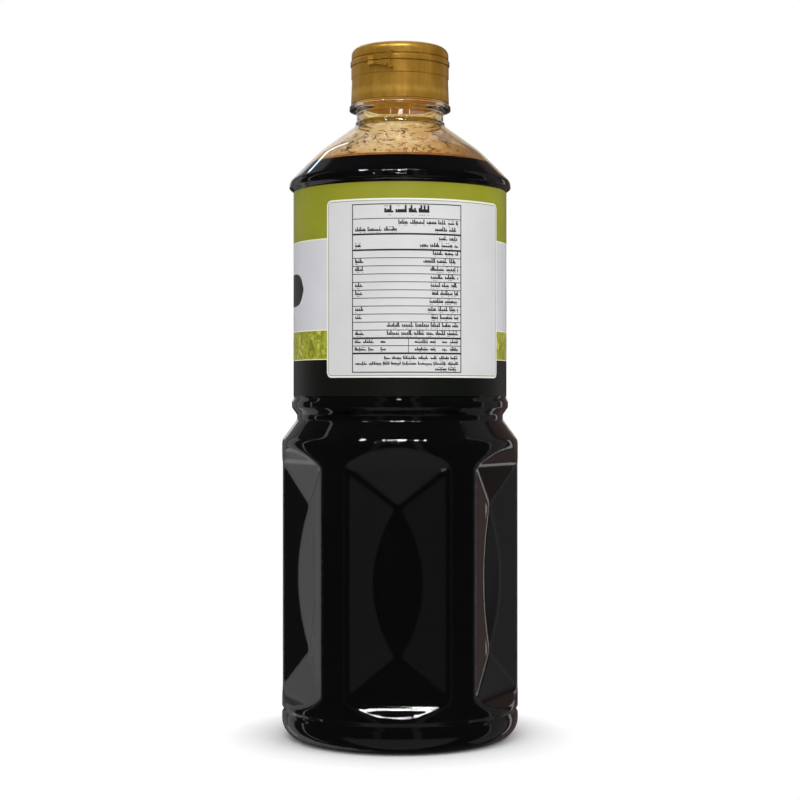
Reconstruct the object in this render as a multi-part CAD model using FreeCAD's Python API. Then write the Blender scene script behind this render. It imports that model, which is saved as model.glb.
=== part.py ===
import FreeCAD, Part
import math
import os
from FreeCAD import Vector

# One-litre PET sauce bottle with a flip-top cap, a wrap-around label and a
# sticker. Millimetres. The bottle stands on z = 0 with its axis on +Z, and the
# side with the sticker faces -Y. An azimuth is measured from -Y towards +X.

# ---- Driving dimensions ------------------------------------------------------

# Bottle wall
WALL = 0.5                      # blown wall of the body
LEVEL_Z = 208.4                 # top of the sauce
FILL_GAP = 0.03                 # between the sauce and the wall

# Base and lower body
BODY_R = 43.4
FOOT_INNER_R = 33.0             # the flat ring that the bottle stands on
PUSH_UP = 7.0                   # rise of the base inside that ring
HEEL_ROUND = 7.0
BASE_GROOVE_Z = 10.3
BASE_GROOVE_DEPTH = 0.8
BASE_GROOVE_HALF = 1.4
BODY_TOP_Z = 108.8

# Waist: a groove with a bead above it
WAIST_R = 37.9
WAIST_Z = 117.2
WAIST_HALF = 0.9
BEAD_R = 39.8
BEAD_Z = 121.8
BEAD_HALF = 1.0

# Label panel
PANEL_R = 39.1
PANEL_BOTTOM_Z = 124.3
PANEL_TOP_Z = 199.8

# Shoulder
SHOULDER_R = 40.8
SHOULDER_Z = 203.3
SHOULDER_MID = (29.7, 214.6)
SHOULDER_END = (17.0, 223.8)

# Neck, with the support ring under the cap
NECK_STEP_R = 16.5
NECK_STEP_Z = 225.4
NECK_R = 16.0
NECK_BORE_R = 13.7
RING_R = 18.7
RING_BOTTOM_Z = 230.0
RING_TOP_Z = 231.6
FINISH_R = 15.8                 # the mouth, inside the cap
MOUTH_Z = 244.1

# Recessed panels round the lower body
FACET_AZIMUTHS = (0.0, 64.0, -64.0, 116.0, -116.0, 180.0)
FACET_TURN = -1.2               # the whole set is turned a little to one side
FACET_HALF_ANGLE = 25.5
FACET_TOP_Z = 100.4             # straight upper and lower edges of a panel
FACET_BOTTOM_Z = 18.1
FACET_TOP_APEX_Z = 85.5         # where the end triangles meet the middle
FACET_BOTTOM_APEX_Z = 33.4
FACET_APEX_R = 36.0
FACET_BULGE = 1.3               # crown of the leaf-shaped middle
LEDGE_TOP_RISE = 6.2            # sloped ledges beyond the straight edges
LEDGE_BOTTOM_RISE = 5.2

# Label and sticker
LABEL_BOTTOM_Z = 124.9
LABEL_TOP_Z = 199.5
FILM = 0.12
FILM_GAP = 0.02
STICKER_FROM = -40.8            # azimuths of its two ends, in degrees
STICKER_TO = 61.5
STICKER_BOTTOM_Z = 131.3
STICKER_TOP_Z = 193.7
STICKER_CORNER = 2.0

# Cap base
CAP_BOTTOM_Z = 232.5
CAP_FLARE_R = 18.1              # skirt at its open end
CAP_SKIRT_R = 17.75             # skirt under the step
CAP_STEP_Z = 241.75
CAP_BAND_R = 18.0
CAP_INNER_R = 16.0
DECK_UNDER_Z = 244.3
DECK_Z = 245.7
PARTING_Z = 246.0               # where the base ends and the lid starts
PARTING_GAP = 0.12
RIM_R = 16.4                    # low rim on the deck that the lid fits round
RIM_INNER_R = 15.0
RIM_TOP_Z = 246.7

# Pouring spout in the deck
SPOUT_R = 6.2
SPOUT_BORE_R = 4.4
SPOUT_LIP_R = 6.9
SPOUT_TOP_Z = 250.3

# Lid
LID_R = 17.9
LID_TOP_Z = 253.1
LID_WALL = 1.2
LID_EDGE_ROUND = 3.0
LID_BEAD_R = 18.3
LID_BEAD_TOP_Z = 248.2
LID_GROOVE_R = 17.55             # groove above the bead
LID_GROOVE_TOP_Z = 248.8
TAB_WIDTH = 9.0
TAB_DEPTH = 1.5

# Hinge between base and lid: a bow-tie strap that stands out of the wall
HINGE_AZIMUTH = -24.8
HINGE_PIVOT_R = 19.5
STRAP_LEFT = 3.9                # reach of the strap each side of its middle
STRAP_RIGHT = 4.6
STRAP_ROOT_R = 17.2             # the strap starts inside the wall
WAIST_OFFSET = -2.0             # narrowest place, measured from its middle
STRAP_WAIST_R = 18.8
STRAP_END_R = 19.4
CRESCENT_R = 7.5                # raised ridge at the strap's right end
CRESCENT_THICK = 0.85
CRESCENT_HALF_HEIGHT = 3.1
STRAP_GAP = 0.3                 # between the strap's two halves

AXIS = Vector(0, 0, 1)
ORIGIN = Vector(0, 0, 0)


# ---- Helpers -----------------------------------------------------------------

def polar(radius, azimuth, z=0.0):
    a = math.radians(azimuth)
    return Vector(radius * math.sin(a), -radius * math.cos(a), z)


def rounded_edges(corners):
    """Straight runs between corners (x, z, rounding), with tangent arcs."""
    points = [Vector(x, 0, z) for x, z, _ in corners]
    edges = []
    start = points[0]
    for i in range(1, len(points) - 1):
        corner, rounding = points[i], corners[i][2]
        back = (points[i - 1] - corner).normalize()
        ahead = (points[i + 1] - corner).normalize()
        if rounding > 0:
            half_turn = back.getAngle(ahead) / 2
            reach = rounding / math.tan(half_turn)
            entry, leave = corner + back * reach, corner + ahead * reach
            middle_way = (back + ahead).normalize()
            middle = corner + middle_way * (rounding / math.sin(half_turn) - rounding)
            edges.append(Part.LineSegment(start, entry).toShape())
            edges.append(Part.Arc(entry, middle, leave).toShape())
            start = leave
        else:
            edges.append(Part.LineSegment(start, corner).toShape())
            start = corner
    edges.append(Part.LineSegment(start, points[-1]).toShape())
    return edges


def revolved(corners):
    """Solid of revolution about Z of a closed outline in the XZ plane."""
    edges = rounded_edges(corners)
    first, last = edges[0].Vertexes[0].Point, edges[-1].Vertexes[-1].Point
    if first.distanceToPoint(last) > 1e-6:
        edges.append(Part.LineSegment(last, first).toShape())
    face = Part.Face(Part.Wire(edges))
    return face.revolve(ORIGIN, AXIS, 360)


def prism(points, direction):
    """Flat polygon swept along a vector."""
    return Part.Face(Part.makePolygon(points + [points[0]])).extrude(direction)


def save(name, shape):
    solids = shape.Solids
    if len(solids) != 1 or not shape.isValid():
        raise ValueError("%s: %d solids, valid %s" % (name, len(solids), shape.isValid()))
    solids[0].exportStep(os.path.join("parts", name + ".step"))
    box = shape.BoundBox
    print("%-10s %9.0f mm3   r %.2f   z %.2f to %.2f"
          % (name, shape.Volume, max(box.XMax, box.YMax), box.ZMin, box.ZMax))
    return solids[0]


# ---- Bottle ------------------------------------------------------------------

def base_outline(inset):
    """Base and heel, from the axis outwards."""
    return [
        (0, PUSH_UP + inset, 0),
        (FOOT_INNER_R * 0.45, PUSH_UP + inset, 12.0),
        (FOOT_INNER_R - inset, inset, 2.0 + inset),
        (BODY_R - inset, inset, HEEL_ROUND - inset),
    ]


def side_outline(inset):
    """Lower body, waist, label panel and shoulder, set in by the wall."""
    groove = (
        (0, -BASE_GROOVE_HALF, 0.6),
        (-BASE_GROOVE_DEPTH, 0, 0.9),
        (0, BASE_GROOVE_HALF, 0.6),
    )
    outline = [(BODY_R + dr - inset, BASE_GROOVE_Z + dz, rounding)
               for dr, dz, rounding in groove]
    outline += [
        (BODY_R - inset, BODY_TOP_Z, 4.0),
        (WAIST_R - inset, WAIST_Z - WAIST_HALF, 1.2),
        (WAIST_R - inset, WAIST_Z + WAIST_HALF, 1.2),
        (BEAD_R - inset, BEAD_Z - BEAD_HALF, 0.9),
        (BEAD_R - inset, BEAD_Z + BEAD_HALF, 0.9),
        (PANEL_R - inset, PANEL_BOTTOM_Z, 0.6),
        (PANEL_R - inset, PANEL_TOP_Z, 0.4),
        (SHOULDER_R - inset, PANEL_TOP_Z + 1.4, 0.8),
        (SHOULDER_R - inset, SHOULDER_Z - 0.4 * inset, 3.2),
        (SHOULDER_MID[0] - inset, SHOULDER_MID[1] - 0.4 * inset, 34.0),
    ]
    return outline


def outer_body():
    neck = [
        SHOULDER_END + (0.8,),
        (NECK_STEP_R, NECK_STEP_Z - 0.7, 0.3),
        (NECK_STEP_R, NECK_STEP_Z, 0.2),
        (NECK_R, NECK_STEP_Z + 0.5, 0.2),
        (NECK_R, RING_BOTTOM_Z - 0.9, 0.5),
        (RING_R, RING_BOTTOM_Z, 0.4),
        (RING_R, RING_TOP_Z, 0.4),
        (FINISH_R, RING_TOP_Z, 0.3),
        (FINISH_R, MOUTH_Z, 0.5),
        (0, MOUTH_Z, 0),
    ]
    return revolved(base_outline(0) + side_outline(0) + neck)


def inner_body(inset):
    neck = [
        (SHOULDER_END[0] - 1.2 - inset, SHOULDER_END[1] - 0.2, 1.5),
        (NECK_BORE_R, NECK_STEP_Z + 0.6, 1.0),
        (NECK_BORE_R, MOUTH_Z + 1, 0),
        (0, MOUTH_Z + 1, 0),
    ]
    return revolved(base_outline(inset) + side_outline(inset) + neck)


def facet_tool(inset):
    """What one recessed panel takes off the body, for azimuth 0.

    Seen from outside, a panel is a shallow V-groove that runs up and down, with
    a triangle at each end that slopes out to a straight edge, a leaf-shaped
    crown in the middle and a sloped ledge beyond each straight edge.
    """
    radius = BODY_R - inset
    edge_depth = BODY_R * math.cos(math.radians(FACET_HALF_ANGLE)) - inset
    edge_half = math.sqrt(radius ** 2 - edge_depth ** 2)
    apex_depth = FACET_APEX_R - inset
    beyond = radius + 3.0                       # clear of the body outside
    wide = edge_half + 8.0

    top_slope = LEDGE_TOP_RISE / (radius - edge_depth)
    bottom_slope = LEDGE_BOTTOM_RISE / (radius - edge_depth)
    middle_z = (FACET_TOP_APEX_Z + FACET_BOTTOM_APEX_Z) / 2

    def at(depth, z):
        return Vector(-wide, -depth, z)

    low_end = at(beyond, FACET_BOTTOM_Z - bottom_slope * (beyond - edge_depth))
    low_edge = at(edge_depth, FACET_BOTTOM_Z)
    low_apex = at(apex_depth, FACET_BOTTOM_APEX_Z)
    crown = at(apex_depth + FACET_BULGE, middle_z)
    high_apex = at(apex_depth, FACET_TOP_APEX_Z)
    high_edge = at(edge_depth, FACET_TOP_Z)
    high_end = at(beyond, FACET_TOP_Z + top_slope * (beyond - edge_depth))
    outline = Part.Wire([
        Part.LineSegment(low_end, low_edge).toShape(),
        Part.LineSegment(low_edge, low_apex).toShape(),
        Part.Arc(low_apex, crown, high_apex).toShape(),
        Part.LineSegment(high_apex, high_edge).toShape(),
        Part.LineSegment(high_edge, high_end).toShape(),
        Part.LineSegment(high_end, low_end).toShape(),
    ])
    ends = Part.Face(outline).extrude(Vector(2 * wide, 0, 0))

    v_slope = (edge_depth - apex_depth) / edge_half
    v_depth = apex_depth + v_slope * wide
    z0, z1 = low_end.z - 1, high_end.z + 1
    groove = prism([
        Vector(0, -apex_depth, z0),
        Vector(wide, -v_depth, z0),
        Vector(wide, -beyond - 1, z0),
        Vector(-wide, -beyond - 1, z0),
        Vector(-wide, -v_depth, z0),
    ], Vector(0, 0, z1 - z0))
    return ends.common(groove)


def with_facets(body, inset):
    tool = facet_tool(inset)
    for azimuth in FACET_AZIMUTHS:
        turned = tool.copy()
        turned.rotate(ORIGIN, AXIS, azimuth + FACET_TURN)
        body = body.cut(turned)
    return body


def bottle():
    return with_facets(outer_body(), 0).cut(with_facets(inner_body(WALL), WALL))


def sauce():
    inset = WALL + FILL_GAP
    reach = BODY_R + 10
    below = Part.makeBox(2 * reach, 2 * reach, LEVEL_Z, Vector(-reach, -reach, 0))
    return with_facets(inner_body(inset), inset).common(below)


# ---- Label and sticker -------------------------------------------------------

def label():
    inner = PANEL_R + FILM_GAP
    height = LABEL_TOP_Z - LABEL_BOTTOM_Z
    foot = Vector(0, 0, LABEL_BOTTOM_Z)
    return Part.makeCylinder(inner + FILM, height, foot).cut(
        Part.makeCylinder(inner, height, foot))


def sticker():
    """Bent rectangle with rounded corners, on the label."""
    inner = PANEL_R + 2 * FILM_GAP + FILM
    height = STICKER_TOP_Z - STICKER_BOTTOM_Z
    foot = Vector(0, 0, STICKER_BOTTOM_Z)
    span = STICKER_TO - STICKER_FROM
    start = polar(1, STICKER_FROM)
    wedge = Part.makeCylinder(inner + FILM, height, foot, AXIS, span)
    wedge.rotate(ORIGIN, AXIS, math.degrees(math.atan2(start.y, start.x)))
    patch = wedge.cut(Part.makeCylinder(inner, height, foot))

    corner_angle = math.degrees(STICKER_CORNER / (inner + FILM))
    for side, z, inward in (
        (STICKER_FROM, STICKER_BOTTOM_Z, 1), (STICKER_FROM, STICKER_TOP_Z, -1),
        (STICKER_TO, STICKER_BOTTOM_Z, 1), (STICKER_TO, STICKER_TOP_Z, -1),
    ):
        across = corner_angle if side == STICKER_FROM else -corner_angle
        azimuth = side + across
        outward = polar(1, azimuth)
        centre = polar(inner - 2, azimuth, z + inward * STICKER_CORNER)
        tangent = polar(1, azimuth + 90) * (-1 if across > 0 else 1)
        block = prism([
            centre,
            centre + tangent * 3 * STICKER_CORNER,
            centre + tangent * 3 * STICKER_CORNER - AXIS * 3 * inward * STICKER_CORNER,
            centre - AXIS * 3 * inward * STICKER_CORNER,
        ], outward * 4)
        disc = Part.makeCylinder(STICKER_CORNER, 4, centre, outward)
        patch = patch.cut(block.cut(disc))
    return patch


# ---- Cap ---------------------------------------------------------------------

def strap_half(upper):
    """Half of the bow-tie strap, for azimuth 0, above or below the parting."""
    sign = 1 if upper else -1
    gap = STRAP_GAP / 2
    z0 = PARTING_Z + sign * gap
    heights = (                      # half height along the strap
        (-STRAP_LEFT, 1.75),
        (WAIST_OFFSET, 1.35),
        (STRAP_RIGHT - CRESCENT_THICK, 2.35),
    )
    face = [Vector(u, -STRAP_ROOT_R, z0 + sign * (h - gap)) for u, h in heights]
    face += [Vector(heights[-1][0], -STRAP_ROOT_R, z0), Vector(-STRAP_LEFT, -STRAP_ROOT_R, z0)]
    tall = prism(face, Vector(0, -4, 0))

    deep = prism([
        Vector(-STRAP_LEFT, -STRAP_ROOT_R, PARTING_Z - 5),
        Vector(-STRAP_LEFT, -STRAP_END_R, PARTING_Z - 5),
        Vector(WAIST_OFFSET, -STRAP_WAIST_R, PARTING_Z - 5),
        Vector(STRAP_RIGHT, -STRAP_END_R, PARTING_Z - 5),
        Vector(STRAP_RIGHT, -STRAP_ROOT_R, PARTING_Z - 5),
    ], Vector(0, 0, 10))
    strap = tall.common(deep)

    # The ridge at the right end curves like an opening bracket.
    middle = Vector(STRAP_RIGHT - CRESCENT_THICK + CRESCENT_R, -STRAP_ROOT_R, PARTING_Z)
    outward = Vector(0, -1, 0)
    depth = STRAP_END_R - STRAP_ROOT_R
    ring = Part.makeCylinder(CRESCENT_R, depth, middle, outward).cut(
        Part.makeCylinder(CRESCENT_R - CRESCENT_THICK, depth, middle, outward))
    window = Part.makeBox(
        CRESCENT_R, depth + 1, CRESCENT_HALF_HEIGHT - gap,
        Vector(middle.x - CRESCENT_R, -STRAP_END_R - 0.5,
               z0 if upper else PARTING_Z - CRESCENT_HALF_HEIGHT))
    return strap.fuse(ring.common(window)).removeSplitter()


def at_hinge(shape):
    shape.rotate(ORIGIN, AXIS, HINGE_AZIMUTH)
    return shape


def cap_base():
    step_round = 0.15
    shell = revolved([
        (CAP_INNER_R, CAP_BOTTOM_Z, 0),
        (CAP_FLARE_R, CAP_BOTTOM_Z, 0.3),
        (CAP_SKIRT_R, CAP_STEP_Z - 0.2, step_round),
        (CAP_BAND_R, CAP_STEP_Z, step_round),
        (CAP_BAND_R, PARTING_Z - PARTING_GAP / 2, 0.2),
        (RIM_R, PARTING_Z - PARTING_GAP / 2, 0),
        (RIM_R, RIM_TOP_Z, 0.2),
        (RIM_INNER_R, RIM_TOP_Z, 0.2),
        (RIM_INNER_R, DECK_Z, 0),
        (SPOUT_R, DECK_Z, 0.5),
        (SPOUT_R, SPOUT_TOP_Z - 1.3, 0.5),
        (SPOUT_LIP_R, SPOUT_TOP_Z, 0.2),
        (SPOUT_BORE_R + 0.5, SPOUT_TOP_Z - 0.2, 0.2),
        (SPOUT_BORE_R, SPOUT_TOP_Z - 0.8, 0.2),
        (SPOUT_BORE_R, DECK_UNDER_Z, 0),
        (CAP_INNER_R, DECK_UNDER_Z, 0),
        (CAP_INNER_R, CAP_BOTTOM_Z, 0),
    ])
    return shell.fuse(at_hinge(strap_half(upper=False))).removeSplitter()


def thumb_tab():
    """Lip for a finger, on the lid opposite the hinge."""
    z0, z1 = PARTING_Z + 0.4, LID_BEAD_TOP_Z - 0.2
    root = LID_R - 1
    tab = Part.makeBox(TAB_WIDTH, LID_BEAD_R + TAB_DEPTH - root, z1 - z0,
                       Vector(-TAB_WIDTH / 2, -LID_BEAD_R - TAB_DEPTH, z0))
    outer = [e for e in tab.Edges
             if all(v.Point.y < -LID_BEAD_R for v in e.Vertexes)]
    upright = [e for e in outer
               if abs(e.Vertexes[0].Point.z - e.Vertexes[1].Point.z) > 1]
    tab = tab.makeFillet(1.2, upright)
    tab.rotate(ORIGIN, AXIS, HINGE_AZIMUTH + 180)
    return tab


def cap_lid():
    bottom = PARTING_Z + PARTING_GAP / 2
    inner = LID_R - LID_WALL
    shell = revolved([
        (inner, bottom, 0),
        (LID_BEAD_R, bottom, 0.5),
        (LID_BEAD_R, LID_BEAD_TOP_Z - 0.4, 0.3),
        (LID_R, LID_BEAD_TOP_Z, 0),
        (LID_GROOVE_R, LID_BEAD_TOP_Z + 0.15, 0),
        (LID_GROOVE_R, LID_GROOVE_TOP_Z - 0.15, 0),
        (LID_R, LID_GROOVE_TOP_Z, 0),
        (LID_R, LID_TOP_Z, LID_EDGE_ROUND),
        (0, LID_TOP_Z, 0),
        (0, LID_TOP_Z - LID_WALL, 0),
        (inner, LID_TOP_Z - LID_WALL, 1.4),
        (inner, bottom, 0),
    ])
    lid = shell.fuse(at_hinge(strap_half(upper=True)))
    return lid.fuse(thumb_tab()).removeSplitter()


# ---- All pieces --------------------------------------------------------------

def main():
    os.makedirs("parts", exist_ok=True)
    save("bottle", bottle())
    fill = save("sauce", sauce())
    save("label", label())
    save("sticker", sticker())
    save("cap_base", cap_base())
    save("cap_lid", cap_lid())
    pivot = polar(HINGE_PIVOT_R, HINGE_AZIMUTH, PARTING_Z)
    hinge_axis = polar(1, HINGE_AZIMUTH + 90)
    print("sauce %.3f litres" % (fill.Volume / 1e6))
    print("hinge at", pivot, "along", hinge_axis)


main()
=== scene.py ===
"""Looks of a one-litre plastic sauce bottle with a flip-top cap, a label and a sticker.

Shapes are in millimetres until a mesh is made. Materials, lamps and the camera are in
metres. Azimuths are degrees from the sticker's side (-Y) towards +X.
"""
import math
import random

import bpy
import numpy as np
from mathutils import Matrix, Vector


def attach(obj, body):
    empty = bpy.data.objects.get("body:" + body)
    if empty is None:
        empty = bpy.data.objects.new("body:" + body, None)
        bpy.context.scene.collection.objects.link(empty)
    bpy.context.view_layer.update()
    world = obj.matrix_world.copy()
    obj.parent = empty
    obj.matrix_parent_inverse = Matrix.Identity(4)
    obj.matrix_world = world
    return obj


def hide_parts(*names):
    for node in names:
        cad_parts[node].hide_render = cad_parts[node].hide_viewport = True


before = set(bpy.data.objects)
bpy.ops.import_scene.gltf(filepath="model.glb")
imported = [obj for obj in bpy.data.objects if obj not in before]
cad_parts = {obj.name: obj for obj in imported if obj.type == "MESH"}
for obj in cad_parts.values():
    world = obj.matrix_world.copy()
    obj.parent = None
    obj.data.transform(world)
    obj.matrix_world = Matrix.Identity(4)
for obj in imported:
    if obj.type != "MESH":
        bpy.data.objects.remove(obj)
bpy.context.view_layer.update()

MM = 0.001

# ---- Sizes of the bottle, as in the CAD model ----

WALL = 0.5
HIDDEN_WALL = 0.35  # more wall where the sauce hides the inside
HIDDEN_WALL_FROM_Z = 9.0
HIDDEN_WALL_TO_Z = 199.0
LEVEL_Z = 208.4
STAIN_FROM_Z = LEVEL_Z - 3

BODY_R = 43.4
FOOT_INNER_R = 33.0
FOOT_ROUND = 2.0
PUSH_UP = 7.0
PUSH_UP_R = FOOT_INNER_R * 0.45
PUSH_UP_ROUND = 12.0
HEEL_ROUND = 7.0
BASE_GROOVE_Z = 10.3
BASE_GROOVE_DEPTH = 0.8
BASE_GROOVE_HALF = 1.4
BODY_TOP_Z = 108.8

WAIST_R = 37.9
WAIST_Z = 117.2
WAIST_HALF = 0.9
BEAD_R = 39.8
BEAD_Z = 121.8
BEAD_HALF = 1.0

PANEL_R = 39.1
PANEL_BOTTOM_Z = 124.3
PANEL_TOP_Z = 199.8

SHOULDER_R = 40.8
SHOULDER_Z = 203.3
SHOULDER_STEP = 1.4
SHOULDER_MID = (29.7, 214.6)
SHOULDER_MID_ROUND = 34.0
SHOULDER_END = (17.0, 223.8)
SHOULDER_TILT = 0.4  # how far its inner face drops for each mm of wall

NECK_STEP_R = 16.5
NECK_STEP_Z = 225.4
NECK_R = 16.0
NECK_BORE_R = 13.7
RING_R = 18.7
RING_BOTTOM_Z = 230.0
RING_TOP_Z = 231.6
FINISH_R = 15.8
MOUTH_Z = 244.1

FACET_AZIMUTHS = (0.0, 64.0, 116.0, 180.0, 244.0, 296.0)
FACET_TURN = -1.2
FACET_HALF_ANGLE = 25.5
FACET_TOP_Z = 100.4
FACET_BOTTOM_Z = 18.1
FACET_TOP_APEX_Z = 85.5
FACET_BOTTOM_APEX_Z = 33.4
FACET_APEX_R = 36.0
FACET_BULGE = 1.3
FACET_REACH = 8.0  # how far past their ends the panels can shape the body
FACET_REACH_ANGLE = 45.0
FACET_GROOVE = 0.004  # softness of the crease up the middle
SEAM_GAP = 3.0  # panels closer than this (degrees) meet in a seam, not a rib
LEDGE_TOP_RISE = 6.2
LEDGE_BOTTOM_RISE = 5.2
LEDGE_HOLLOW = 1.3  # how the lower ledge steepens outwards

RIB_ROUND = 0.55  # how softly the panels' rims, ledges and creases are blown
LEDGE_ROUND = 0.4
CREASE_ROUND = 0.22

LABEL_R = PANEL_R + 0.14
STICKER_R = LABEL_R + 0.14
STICKER_FROM = -40.8
STICKER_TO = 61.5

# Longest runs of the mesh along the outline, outside and inside.
FACET_RUN = 1.05
FACET_RUN_BELOW = 6.0
HEEL_RUN = 4.0
NECK_RUN = 0.7
SHAPED_RUN = 1.2
PLAIN_RUN = 20.0
INNER_SHOULDER_RUN = 3.0
INNER_FACET_RUN = 6.0

SMALL_ROUND = 0.45  # below this rounding, arcs are split coarsely
LARGE_ROUND = 20.0  # from this rounding on, they are split finely
LARGE_ROUND_STEP = 1.2

# ---- Mesh helpers ----


def add_object(name, data):
    obj = bpy.data.objects.new(name, data)
    bpy.context.scene.collection.objects.link(obj)
    return obj


def make_object(name, verts, faces, materials, face_slots=None, smooth=True):
    """Object from vertices in millimetres."""
    mesh = bpy.data.meshes.new(name)
    mesh.from_pydata((np.asarray(verts, float) * MM).tolist(), [], faces)
    for material in materials:
        mesh.materials.append(material)
    if face_slots is not None:
        mesh.polygons.foreach_set("material_index", face_slots)
    mesh.polygons.foreach_set("use_smooth", [smooth] * len(mesh.polygons))
    mesh.validate()
    mesh.update()
    return add_object(name, mesh)


def unit(vector):
    return vector / np.linalg.norm(vector)


def outline_points(corners, arc_step=9.0):
    """Points (r, z) along straight runs with a rounding at each corner (r, z, rounding)."""
    pts = [np.array(c[:2], float) for c in corners]
    out = [pts[0]]
    for i in range(1, len(pts) - 1):
        corner, rounding = pts[i], corners[i][2]
        back, ahead = unit(pts[i - 1] - corner), unit(pts[i + 1] - corner)
        if rounding <= 0:
            out.append(corner)
            continue
        half = math.acos(np.clip(np.dot(back, ahead), -1, 1)) / 2
        reach = rounding / math.tan(half)
        centre = corner + unit(back + ahead) * rounding / math.sin(half)
        a = corner + back * reach - centre
        b = corner + ahead * reach - centre
        turn = math.pi - 2 * half
        step = arc_step * 2 if rounding < SMALL_ROUND else arc_step
        if rounding >= LARGE_ROUND:
            step = LARGE_ROUND_STEP
        steps = max(2, math.ceil(math.degrees(turn) / step))
        for k in range(steps + 1):
            t = k / steps
            p = (a * math.sin((1 - t) * turn) + b * math.sin(t * turn)) / math.sin(turn)
            out.append(centre + p)
    out.append(pts[-1])
    return out


def subdivided(points, longest):
    """The same outline with no run longer than longest(z)."""
    out = [points[0]]
    for a, b in zip(points, points[1:]):
        middle_z = (a[1] + b[1]) / 2
        count = max(1, math.ceil(np.linalg.norm(b - a) / longest(middle_z)))
        for k in range(1, count + 1):
            out.append(a + (b - a) * k / count)
    return out


def around(count):
    """Each place round a ring, with the next one."""
    return [(k, (k + 1) % count) for k in range(count)]


def lathe(name, rings, azimuths, materials, ring_slots=None):
    """Closed surface from rings (radii, z), where radii is a number or one per azimuth.

    A first or last ring of radius 0 is a single vertex on the axis. Without such
    poles the last ring joins the first.
    """
    angles = np.radians(azimuths)
    direction = np.stack([np.sin(angles), -np.cos(angles)], axis=1)
    verts, starts = [], []
    for radii, z in rings:
        starts.append(len(verts))
        if np.isscalar(radii) and radii <= 1e-9:
            verts.append((0.0, 0.0, z))
            continue
        radii = np.broadcast_to(radii, angles.shape)
        for (x, y), r in zip(direction, radii):
            verts.append((x * r, y * r, z))
    count = len(angles)
    sizes = [b - a for a, b in zip(starts, starts[1:] + [len(verts)])]
    pairs = list(zip(range(len(rings) - 1), range(1, len(rings))))
    if sizes[0] > 1 and sizes[-1] > 1:
        pairs.append((len(rings) - 1, 0))
    faces, slots = [], []
    for i, k in pairs:
        lower, upper = starts[i], starts[k]
        for j, n in around(count):
            if sizes[i] == 1:
                faces.append((lower, upper + n, upper + j))
            elif sizes[k] == 1:
                faces.append((lower + j, lower + n, upper))
            else:
                faces.append((lower + j, lower + n, upper + n, upper + j))
            slots.append(0 if ring_slots is None else ring_slots[i])
    return make_object(name, verts, faces, materials, slots)


def even_azimuths(count):
    return np.arange(count) * 360.0 / count


def at(angle, r, z):
    """The place at an angle (radians) round the axis."""
    return (r * math.sin(angle), -r * math.cos(angle), z)


# ---- Shape of the bottle ----


def smooth_max(a, b, blend):
    """The larger of two, rounded over where they cross."""
    share = np.clip(0.5 + 0.5 * (a - b) / blend, 0, 1)
    return b * (1 - share) + a * share + blend * share * (1 - share)


def smooth_min(a, b, blend):
    return -smooth_max(-a, -b, blend)


FACET_EDGE_DEPTH = BODY_R * math.cos(math.radians(FACET_HALF_ANGLE))
FACET_EDGE_HALF = BODY_R * math.sin(math.radians(FACET_HALF_ANGLE))


def facet_depth(z):
    """Distance of a panel's end triangles, crown and ledges from the axis, by height."""
    slope_in = FACET_EDGE_DEPTH - FACET_APEX_R
    middle = (FACET_TOP_APEX_Z + FACET_BOTTOM_APEX_Z) / 2
    half = (FACET_TOP_APEX_Z - FACET_BOTTOM_APEX_Z) / 2
    crown_r = (half ** 2 + FACET_BULGE ** 2) / (2 * FACET_BULGE)
    crown = FACET_APEX_R + FACET_BULGE - crown_r + math.sqrt(crown_r ** 2 - (z - middle) ** 2)
    top = FACET_APEX_R + slope_in * (z - FACET_TOP_APEX_Z) / (FACET_TOP_Z - FACET_TOP_APEX_Z)
    bottom = (FACET_APEX_R + slope_in * (FACET_BOTTOM_APEX_Z - z)
              / (FACET_BOTTOM_APEX_Z - FACET_BOTTOM_Z))
    ledge_out = BODY_R - FACET_EDGE_DEPTH
    high = FACET_EDGE_DEPTH + ledge_out * (z - FACET_TOP_Z) / LEDGE_TOP_RISE
    down = (FACET_BOTTOM_Z - z) / LEDGE_BOTTOM_RISE
    low = FACET_EDGE_DEPTH + ledge_out * math.copysign(abs(down) ** LEDGE_HOLLOW, down)
    depth = smooth_max(top, high, LEDGE_ROUND)
    depth = smooth_max(depth, smooth_max(bottom, low, LEDGE_ROUND), CREASE_ROUND)
    return smooth_max(depth, crown, CREASE_ROUND)


def by_facets(z):
    return FACET_BOTTOM_Z - FACET_REACH < z < FACET_TOP_Z + FACET_REACH


def with_facets(radius, z, azimuths):
    """Radius of the body at height z by azimuth, once the recessed panels are cut."""
    radii = np.full(len(azimuths), float(radius))
    if not by_facets(z):
        return radii
    v_slope = (FACET_EDGE_DEPTH - FACET_APEX_R) / FACET_EDGE_HALF
    depth = facet_depth(z)
    for centre in FACET_AZIMUTHS:
        off = (azimuths - centre - FACET_TURN + 180) % 360 - 180
        near = np.abs(off) < FACET_REACH_ANGLE
        angle = np.radians(off[near])
        across = np.sqrt(np.sin(angle) ** 2 + FACET_GROOVE ** 2)
        groove = FACET_APEX_R / (np.cos(angle) - v_slope * across)
        panel = smooth_max(groove, depth / np.cos(angle), CREASE_ROUND)
        radii[near] = smooth_min(radii[near], panel, RIB_ROUND)
    return radii


def body_azimuths(per_panel, per_rib, per_seam):
    """Azimuths that fall on every panel's upright edges and middle."""
    out = []
    for i, centre in enumerate(FACET_AZIMUTHS):
        following = FACET_AZIMUTHS[(i + 1) % len(FACET_AZIMUTHS)]
        gap = (following - centre) % 360 - 2 * FACET_HALF_ANGLE
        start = centre - FACET_HALF_ANGLE + FACET_TURN
        out.extend(start + 2 * FACET_HALF_ANGLE * np.arange(per_panel) / per_panel)
        count = per_seam if gap < SEAM_GAP else per_rib
        out.extend(start + 2 * FACET_HALF_ANGLE + gap * np.arange(count) / count)
    return np.array(out)


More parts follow.
